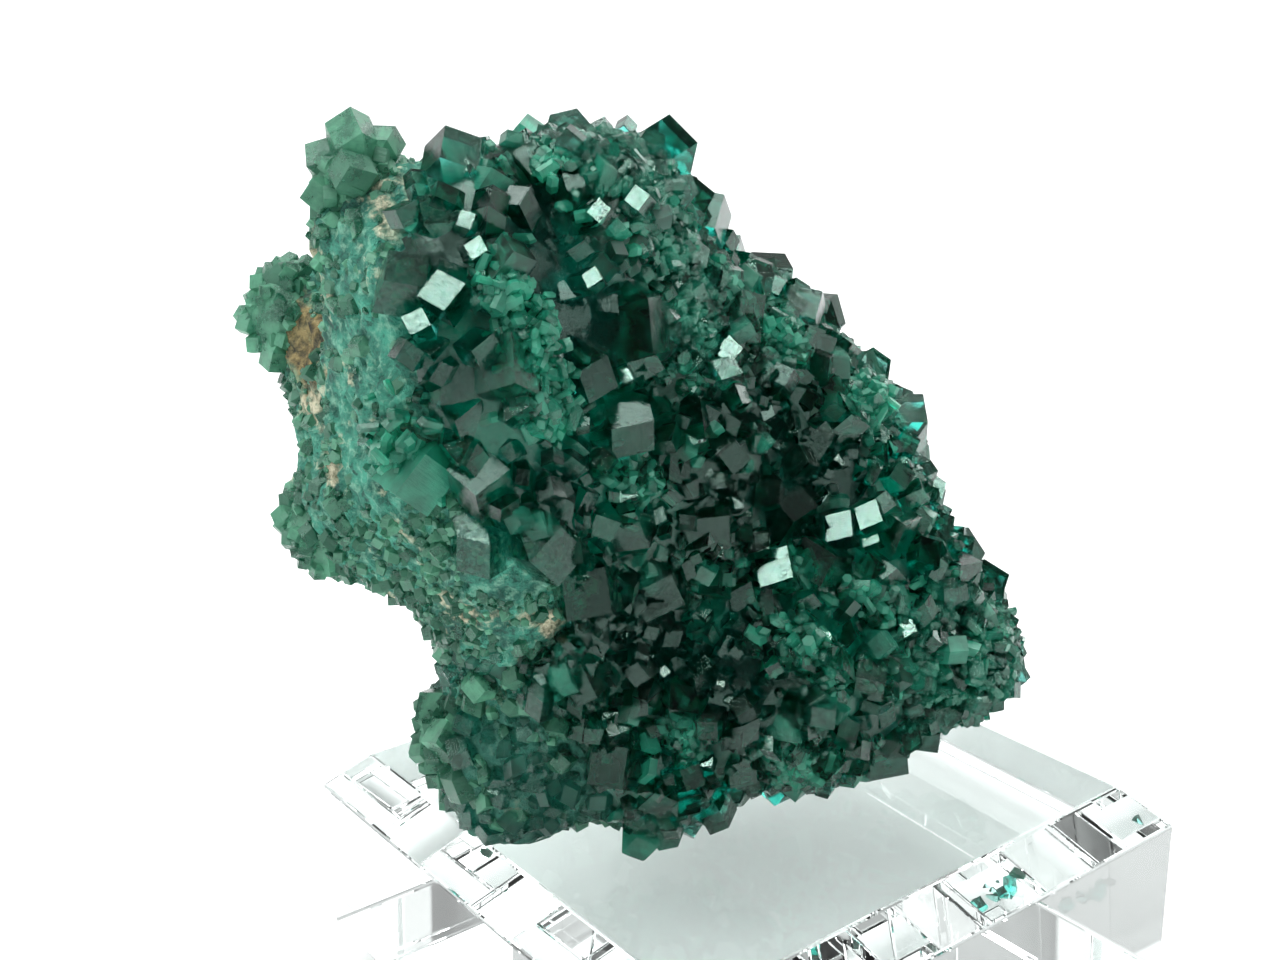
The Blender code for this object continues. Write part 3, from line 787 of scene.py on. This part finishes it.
# Small crystals fill in between, more upright than the large ones
chance = np.random.RandomState(SMALL_SEED)
ways = unit(chance.normal(size=(SMALL_TRIES, 3)))
ways = ways[druse_share(ways) > SMALL_SHARE]
least, most = SMALL_RADII
small_radii = least + (most - least) * chance.uniform(size=len(ways)) ** 1.6
points, normals = floor_points(ways)
small_radii *= np.sqrt(size_factors(points))
kept = spaced_out(points, small_radii, SMALL_SPACING)
points, normals, small_radii = points[kept], normals[kept], small_radii[kept]
points = points - HOLLOW_DEPTH * near_spots(points, HOLLOWS)[:, None] * normals
count = len(kept)
aside = unit(np.cross(normals, chance.normal(size=(count, 3))))
tilt = SMALL_TILT * chance.uniform(size=(count, 1))
axes = normals * np.cos(tilt) + np.cross(aside, normals) * np.sin(tilt)
heights = CRUST_RISE + small_radii * chance.uniform(*SMALL_HEIGHTS, count)
small_corners = crystal_corners(
    points - (0.6 + 0.9 * small_radii)[:, None] * axes,
    points + heights[:, None] * axes,
    small_radii,
    chance.uniform(0, math.pi, count),
    chance.uniform(*SMALL_SQUEEZES, count),
)

# Some crystals have one rhomb turned so that it mirrors the small panel towards the front
eye = np.array(CAMERA_PLACE) / MM
lamp = np.array(bpy.data.objects["small_panel"].location) / MM
spots = np.array([spot for spot, _ in GLINT_SPOTS])
glint_radii = np.array([radius for _, radius in GLINT_SPOTS])
points, normals = floor_points(unit(spots - ROCK_CENTRE))
faces_at = points
for _ in range(2):
    mirrors = unit(unit(eye - faces_at) + unit(lamp - faces_at))
    aside = unit(normals - (normals * mirrors).sum(axis=1, keepdims=True) * mirrors)
    axes = mirrors * math.cos(RHOMB_ANGLE) + aside * math.sin(RHOMB_ANGLE)
    faces_at = points + (GLINT_RISE + glint_radii)[:, None] * axes
flat_way = (mirrors - axes * math.cos(RHOMB_ANGLE)) / math.sin(RHOMB_ANGLE)
across = unit(np.cross((0, 0, 1), axes))
spins = np.arctan2((flat_way * np.cross(axes, across)).sum(axis=1), (flat_way * across).sum(axis=1))
glint_corners = crystal_corners(
    points - GLINT_ROOT * axes,
    points + (GLINT_RISE + 1.5 * glint_radii)[:, None] * axes,
    glint_radii,
    spins,
    np.ones(len(spots)),
)

# The floor that they all stand on: an outer and an inner skin, stitched along the druse's edge
druse_ways, druse_quads = sphere_grid(CRUST_STEPS)
druse_floor = floor_radius(druse_ways)
share = druse_share(druse_ways)
quads = druse_quads[(share[druse_quads] > 0.5).all(axis=1)]
used, quads = np.unique(quads, return_inverse=True)
quads = quads.reshape(-1, 4)
outer = ROCK_CENTRE + druse_ways[used] * (druse_floor + CRUST_RISE * share)[used, None]
outer -= druse_ways[used] * HOLLOW_DEPTH * near_spots(outer, HOLLOWS)[:, None]
inner = ROCK_CENTRE + druse_ways[used] * (druse_floor - CRUST_DEPTH * share - CRUST_WALL)[used, None]
edges = np.stack((quads, np.roll(quads, -1, axis=1)), axis=-1).reshape(-1, 2)
known = set(map(tuple, edges.tolist()))
rim = np.array([(a, b) for a, b in edges.tolist() if (b, a) not in known])
sheets = len(used)
stitches = np.stack((rim[:, 1], rim[:, 0], rim[:, 0] + sheets, rim[:, 1] + sheets), axis=1)
crust_faces = np.concatenate((quads, quads[:, ::-1] + sheets, stitches))
crust_points = np.concatenate((outer, inner))

# Dioptase: deep bluish green, glassy, seen through where it is thin and near black where it is deep. Some
# crystals are frosted by fine growth steps
deep_dioptase, tree, output = new_material("glassy_dioptase")
frost = add_node(tree, "ShaderNodeAttribute", attribute_name="frost").outputs["Fac"]
bump = growth_steps(tree, (0.5, 4.0), detail=4, roughness=0.7, strength=0.3, depth=0.06)
roughness = add_node(
    tree, "ShaderNodeMapRange", {"Value": frost, "To Min": 0.03, "To Max": 0.42}
).outputs["Result"]
shader = add_node(
    tree,
    "ShaderNodeBsdfPrincipled",
    {
        "Base Color": linear("#E8FFF8"),
        "Roughness": roughness,
        "IOR": 1.67,
        "Transmission Weight": 1.0,
        "Specular Tint": linear("#B8E0D2"),
        "Normal": bump,
    },
)
inside = add_node(tree, "ShaderNodeVolumeAbsorption", {"Color": (0.0, 0.80, 0.755, 1), "Density": 760})
tree.links.new(shader.outputs[0], output.inputs["Surface"])
tree.links.new(inside.outputs[0], output.inputs["Volume"])

druse = new_piece("druse_crystals", crust_points, crust_faces.tolist(), deep_dioptase)
add_values(druse.data, "frost", np.full(len(crust_faces), 0.5), "FACE")
druse.data.uv_layers.new(name="growth")
all_corners = np.concatenate((large_corners, small_corners))
tips = all_corners[:, 12]
widths = np.linalg.norm(all_corners[:, 0] - all_corners[:, 3], axis=1)
milk = waves(tips, 8.0, seed=21) + 0.5 * waves(tips, 3.0, seed=22) + chance.normal(0, 0.5, len(tips))
milk += 1.1 * near_spots(tips, VEILED_SPOTS)
milky = (milk > 1.0) & (widths < WIDEST_VEILED) & (near_spots(tips, HOLLOWS) < 0.35)
milky[len(large_corners) - len(LEADERS) + VEILED_LEADER] = True
overlap = np.linalg.norm(tips[:, None] - faces_at[None], axis=2) < 0.8 * glint_radii + 0.7
free = ~overlap.any(axis=1)
free &= (near_spots(tips, HOLLOWS) < 0.5) | (widths < WIDEST_IN_FINE)
free &= (near_spots(tips, FINE_ZONES) < 0.4) | (widths < WIDEST_IN_FINE)
free &= (near_spots(tips, COARSE_ZONES) < 0.4) | (widths > NARROWEST_IN_COARSE)
all_corners, tips, milky = all_corners[free], tips[free], milky[free]
frosts = np.clip(chance.normal(0.12, 0.22, len(tips)) + 0.9 * near_spots(tips, FROST_SPOTS), 0, 1)
druse_corners = np.concatenate((glint_corners, all_corners[~milky]))
grow_together(druse, druse_corners, np.concatenate((np.zeros(len(spots)), frosts[~milky])))
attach(druse, "root")
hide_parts("druse_crust")


# The veiled crystals and the tufts
# Paler dioptase of the same sheet: single crystals full of fine fractures, and tufts of fine light green ones
# that sit on the druse, each some tenths of a millimetre across.

# Painted glow: the veiled crystals are painted palest at these spots, standing in for light that shines
# through them
PAINTED_GLOW_SPOTS = (((-21.5, -19.0, 52.0), 3.5), ((4.6, -9.0, 40.6), 1.6))  # where it is brightest
TUFTS = (  # a spot of the druse, its reach along it, how far it stands out, and its number of crystals
    ((4.6, -8.4, 40.6), 1.3, 1.9, 110), ((2.2, -9.3, 37.4), 1.4, 1.5, 80), ((9.4, -7.6, 38.2), 1.3, 1.5, 70),
    ((10.0, -1.0, 51.5), 2.2, 2.4, 160), ((-14.6, -16.6, 62.6), 1.6, 1.6, 90),
    ((-13.0, -16.2, 58.4), 1.5, 1.8, 90), ((-12.4, -15.4, 54.4), 1.4, 1.8, 90),
    ((-7.6, -12.6, 49.4), 1.5, 1.6, 80), ((-4.2, -12.2, 30.2), 1.2, 1.4, 60),
    ((1.8, -3.0, 56.0), 2.4, 1.6, 120), ((-1.0, -4.6, 61.4), 2.2, 1.4, 100),
    ((3.4, -10.2, 27.6), 2.4, 1.3, 120), ((-21.4, -17.0, 53.6), 2.6, 2.6, 60),
    ((17.0, -4.0, 31.0), 6.5, 0.9, 600), ((-8.0, -8.0, 69.0), 5.0, 0.9, 420),
    ((-4.0, -10.0, 63.0), 4.5, 0.9, 320),
)
TUFT_RADII = (0.22, 0.5)
FINE_SQUEEZES = (0.8, 1.25)
VEILS = 0.52 / MM  # how many a metre: about 2 mm apart

tuft_sets = []
for spot, reach, stand, number in TUFTS:
    offsets = chance.normal(0, 0.5 * reach, (number, 3))
    points, normals = floor_points(unit(np.array(spot) + offsets - ROCK_CENTRE))
    closeness = np.exp(-(offsets**2).sum(axis=1) / reach**2)
    ways = unit(normals + 0.8 * chance.normal(size=(number, 3)))
    heights = CRUST_RISE * 0.5 + stand * closeness * chance.uniform(0.3, 1.0, number)
    bases = points + normals * heights[:, None]
    radii = chance.uniform(*TUFT_RADII, number)
    spins = chance.uniform(0, math.pi, number)
    squeezes = chance.uniform(*FINE_SQUEEZES, number)
    ends = bases + ways * (radii * 1.5)[:, None]
    tuft_sets.append(crystal_corners(bases - ways, ends, radii, spins, squeezes))
tuft_corners = np.concatenate(tuft_sets)
tuft_frosts = chance.uniform(0, 1, len(tuft_corners))
tuft_frosts *= 1 - 0.7 * (near_spots(tuft_corners[:, 12], FINE_ZONES) > 0.2)

# Dioptase with a veil of fine fractures: it scatters some light inside, so it glows teal between dark ones
veiled_dioptase, tree, output = new_material("veiled_dioptase")
frost = add_node(tree, "ShaderNodeAttribute", attribute_name="frost").outputs["Fac"]
place = add_node(tree, "ShaderNodeTexCoord").outputs["Object"]
veils = add_node(
    tree, "ShaderNodeTexNoise", {"Vector": place, "Scale": VEILS, "Detail": 4}
).outputs["Fac"]
veils = add_node(
    tree, "ShaderNodeMapRange", {"Value": veils, "From Min": 0.35, "From Max": 0.68}
).outputs["Result"]
glow = add_node(tree, "ShaderNodeMath", {0: frost, 1: 0.6}, operation="MULTIPLY").outputs["Value"]
glow = add_node(
    tree, "ShaderNodeMath", {0: veils, 1: 0.6, 2: glow}, operation="MULTIPLY_ADD", use_clamp=True
).outputs["Value"]
colour = add_node(
    tree, "ShaderNodeMix", {0: glow, 6: linear("#054437"), 7: linear("#3ED6AE")}, data_type="RGBA"
).outputs[2]
roughness = add_node(
    tree, "ShaderNodeMapRange", {"Value": frost, "To Min": 0.08, "To Max": 0.5}
).outputs["Result"]
bump = growth_steps(tree, (0.8, 4.0), detail=5, roughness=0.7, strength=0.5, depth=0.15)
shader = add_node(
    tree,
    "ShaderNodeBsdfPrincipled",
    {
        "Base Color": colour,
        "Roughness": roughness,
        "IOR": 1.67,
        "Transmission Weight": 0.68,
        "Specular Tint": linear("#D2EADF"),
        "Normal": bump,
    },
)
tree.links.new(shader.outputs[0], output.inputs["Surface"])
milky_corners = np.concatenate((all_corners[milky], tuft_corners))
milky_frosts = np.concatenate((chance.uniform(0, 0.6, milky.sum()), tuft_frosts))
# Painted glow: the colour is pushed to its palest near the glow spots
milky_frosts = np.maximum(milky_frosts, near_spots(milky_corners[:, 12], PAINTED_GLOW_SPOTS))
veiled = crystal_piece("veiled_crystals", milky_corners, milky_frosts, veiled_dioptase)
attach(veiled, "root")
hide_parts("druse_crust")


# The groups of crystals that stand apart
# Paler, milky dioptase that radiates from small pads on the bare rock, with finer crystals between the large.

GROUPS = {  # node: centre, pad radius, then each large crystal's tip and radius
    "pillar_crystals": ((-25.4, -9.6, 69.6), 3.2, (
        ((-25.3, -10.8, 75.0), 2.1), ((-28.6, -10.2, 72.6), 1.6), ((-22.6, -9.8, 73.6), 1.5),
        ((-28.8, -12.4, 69.4), 1.5), ((-25.0, -14.4, 71.6), 1.8), ((-25.0, -5.8, 72.6), 1.8))),
    "knob_crystals": ((-32.0, -1.4, 59.4), 3.7, (
        ((-35.6, -2.6, 57.2), 1.5), ((-35.4, -1.2, 60.8), 1.6), ((-32.6, -3.6, 63.6), 1.8),
        ((-33.6, -5.4, 56.0), 1.5), ((-31.4, 2.2, 63.0), 1.7), ((-34.4, 2.8, 58.6), 1.6))),
    "flank_crystal": ((-27.0, -11.4, 48.1), 1.2, (((-28.8, -13.6, 48.4), 1.0),)),
    "ledge_crystals": ((-29.4, -6.2, 44.6), 3.8, (
        ((-32.2, -6.6, 43.4), 1.5), ((-29.6, -9.8, 41.8), 1.4), ((-32.4, -2.8, 46.4), 1.4),
        ((-31.6, -8.4, 46.0), 1.3))),
    "heel_crystals": ((-20.6, -7.4, 27.6), 4.0, (
        ((-24.0, -8.4, 31.8), 1.9), ((-24.4, -9.0, 27.2), 1.8), ((-22.4, -12.8, 29.8), 2.0),
        ((-24.0, -6.6, 23.6), 1.8), ((-20.8, -13.0, 24.8), 1.9), ((-24.2, -3.8, 28.6), 1.9))),
    "back_crystals_high": ((-8.2, 12.2, 54.8), 4.0, (
        ((-7.4, 17.4, 57.0), 2.1), ((-11.4, 15.0, 58.0), 1.8), ((-3.6, 15.6, 58.6), 1.8),
        ((-8.6, 12.6, 60.6), 1.8), ((-11.0, 16.8, 53.2), 1.6))),
    "back_crystals_low": ((-13.0, 14.0, 38.4), 3.4, (
        ((-14.4, 18.8, 39.4), 2.0), ((-17.8, 15.6, 37.0), 1.7), ((-11.4, 17.6, 34.6), 1.6),
        ((-15.8, 15.8, 42.6), 1.6))),
}
GROUP_SEED = 5
LARGE_IN_GROUP = 0.9  # their radii as a share of those above
FINE_IN_GROUP = 170  # on a pad of 4 mm
FINE_RADII = (0.35, 0.9)
FINE_DEPTH = 0.55  # how far out on the pad's radius their roots are
PAD_STEPS = 10
PAD_WAVES = 0.06
FOG = 0.52 / MM  # how many a metre: clouds about 2 mm across

# Milky dioptase: full of fine fractures, so it scatters light near its surface and looks pale and waxy
pale_dioptase, tree, output = new_material("milky_dioptase")
place = add_node(tree, "ShaderNodeTexCoord").outputs["Object"]
fog = add_node(
    tree, "ShaderNodeTexNoise", {"Vector": place, "Scale": FOG, "Detail": 5, "Roughness": 0.6}
).outputs["Fac"]
fog = add_node(
    tree, "ShaderNodeMapRange", {"Value": fog, "From Min": 0.38, "From Max": 0.60}
).outputs["Result"]
frost = add_node(tree, "ShaderNodeAttribute", attribute_name="frost").outputs["Fac"]
tint = add_node(tree, "ShaderNodeMath", {0: fog, 1: frost}, operation="MULTIPLY").outputs["Value"]
colour = add_node(
    tree, "ShaderNodeMix", {0: tint, 6: linear("#0E664B"), 7: linear("#70C8A0")}, data_type="RGBA"
).outputs[2]
roughness = add_node(
    tree, "ShaderNodeMapRange", {"Value": fog, "To Min": 0.15, "To Max": 0.5}
).outputs["Result"]
bump = growth_steps(tree, (1.0, 3.0), detail=5, roughness=0.75, strength=0.6, depth=0.2)
shader = add_node(
    tree,
    "ShaderNodeBsdfPrincipled",
    {
        "Base Color": colour,
        "Roughness": roughness,
        "IOR": 1.67,
        "Transmission Weight": 0.5,
        "Specular Tint": linear("#DDF0E8"),
        "Normal": bump,
    },
)
tree.links.new(shader.outputs[0], output.inputs["Surface"])

for node, (centre, pad_radius, tips_and_radii) in GROUPS.items():
    centre = np.array(centre)
    source = random.Random(GROUP_SEED)
    turns = np.array([[source.uniform(0, math.pi), source.uniform(*LARGE_SQUEEZES)] for _ in tips_and_radii])
    large = crystal_corners(
        np.tile(centre, (len(tips_and_radii), 1)),
        np.array([tip for tip, _ in tips_and_radii]),
        np.array([radius for _, radius in tips_and_radii]) * LARGE_IN_GROUP,
        turns[:, 0],
        turns[:, 1],
    )
    fine = round(FINE_IN_GROUP * (pad_radius / 4) ** 2)
    ways = unit(chance.normal(size=(fine, 3)))
    fine_radii = chance.uniform(*FINE_RADII, fine)
    fine_roots = centre + ways * pad_radius * FINE_DEPTH
    fine_tips = centre + ways * (pad_radius + fine_radii * chance.uniform(0.3, 1.5, fine))[:, None]
    small = crystal_corners(
        fine_roots, fine_tips, fine_radii, chance.uniform(0, math.pi, fine), chance.uniform(0.85, 1.18, fine)
    )
    pad_ways, pad_quads = sphere_grid(PAD_STEPS)
    pad_points = centre + pad_ways * pad_radius * (1 + PAD_WAVES * waves(pad_ways, 0.8, seed=9))[:, None]
    name = node.replace("crystals", "cluster").replace("crystal", "cluster")
    group = new_piece(name, pad_points, pad_quads.tolist(), pale_dioptase)
    add_values(group.data, "frost", np.full(len(pad_quads), 0.8), "FACE")
    group.data.uv_layers.new(name="growth")
    corners = np.concatenate((large, small))
    corners = corners[corners[..., 2].min(axis=1) > SEAT_Z]
    grow_together(group, corners, chance.uniform(0, 1, len(corners)))
    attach(group, "root")
    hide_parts(node)


# The fine crystals on the bare rock
# Sugary dioptase that covers the flank and the back in drifts, each crystal about a millimetre across. Low
# on the rock it lies thick, and is coarser and partly glassy.

SPRINKLE_TRIES = 20000
SPRINKLE_RADII = (0.22, 0.75)
SPRINKLE_SPACING = 1.05
SPRINKLE_TILT = math.radians(55)
SPRINKLE_HEIGHTS = (0.5, 1.5)
LOW_ROCK = (40, 6)  # millimetres: where the thick growth begins, and the depth in which it grows full
THICKER_ROCK = (50, 8)  # the same for the drifts

ways = unit(chance.normal(size=(SPRINKLE_TRIES, 3)))
ways = ways[druse_share(ways) < 0.9]
points = rock_skin(ways)
drifts = waves(points, 9.0, seed=12) + 0.5 * waves(points, 3.5, seed=13) + chance.normal(0, 0.35, len(ways))
low = np.clip((LOW_ROCK[0] - points[:, 2]) / LOW_ROCK[1], 0, 1)
drifts += 0.9 * np.clip((THICKER_ROCK[0] - points[:, 2]) / THICKER_ROCK[1], 0, 1)
chosen = (drifts + 1.0 * low > 0.15) & (points[:, 2] > SEAT_Z + 0.8)
chosen &= near_spots(points, CREAM_SPOTS + RUST_SPOTS) + 0.15 * chance.normal(size=len(points)) < 0.68
ways, points, low = ways[chosen], points[chosen], low[chosen]
count = len(ways)
least, most = SPRINKLE_RADII
radii = least + (most - least) * chance.uniform(size=count) ** 2
radii += low * chance.uniform(0, 0.9, count)
kept = spaced_out(points, radii, SPRINKLE_SPACING)
ways, points, radii, low = ways[kept], points[kept], radii[kept], low[kept]
_, normals = floor_points(ways)
count = len(kept)
aside = unit(np.cross(normals, chance.normal(size=(count, 3))))
tilt = SPRINKLE_TILT * chance.uniform(size=(count, 1))
axes = normals * np.cos(tilt) + np.cross(aside, normals) * np.sin(tilt)
sprinkle_corners = crystal_corners(
    points - (0.9 * radii)[:, None] * axes,
    points + (radii * chance.uniform(*SPRINKLE_HEIGHTS, count))[:, None] * axes,
    radii,
    chance.uniform(0, math.pi, count),
    chance.uniform(*FINE_SQUEEZES, count),
)
glassy = chance.uniform(size=count) < 0.8 * low
for name, material, mine in (
    ("fine_dioptase", pale_dioptase, ~glassy),
    ("heel_druse", deep_dioptase, glassy),
):
    frosts = chance.uniform(0, 1, mine.sum())
    sprinkle = crystal_piece(name, sprinkle_corners[mine], frosts, material)
    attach(sprinkle, "root")
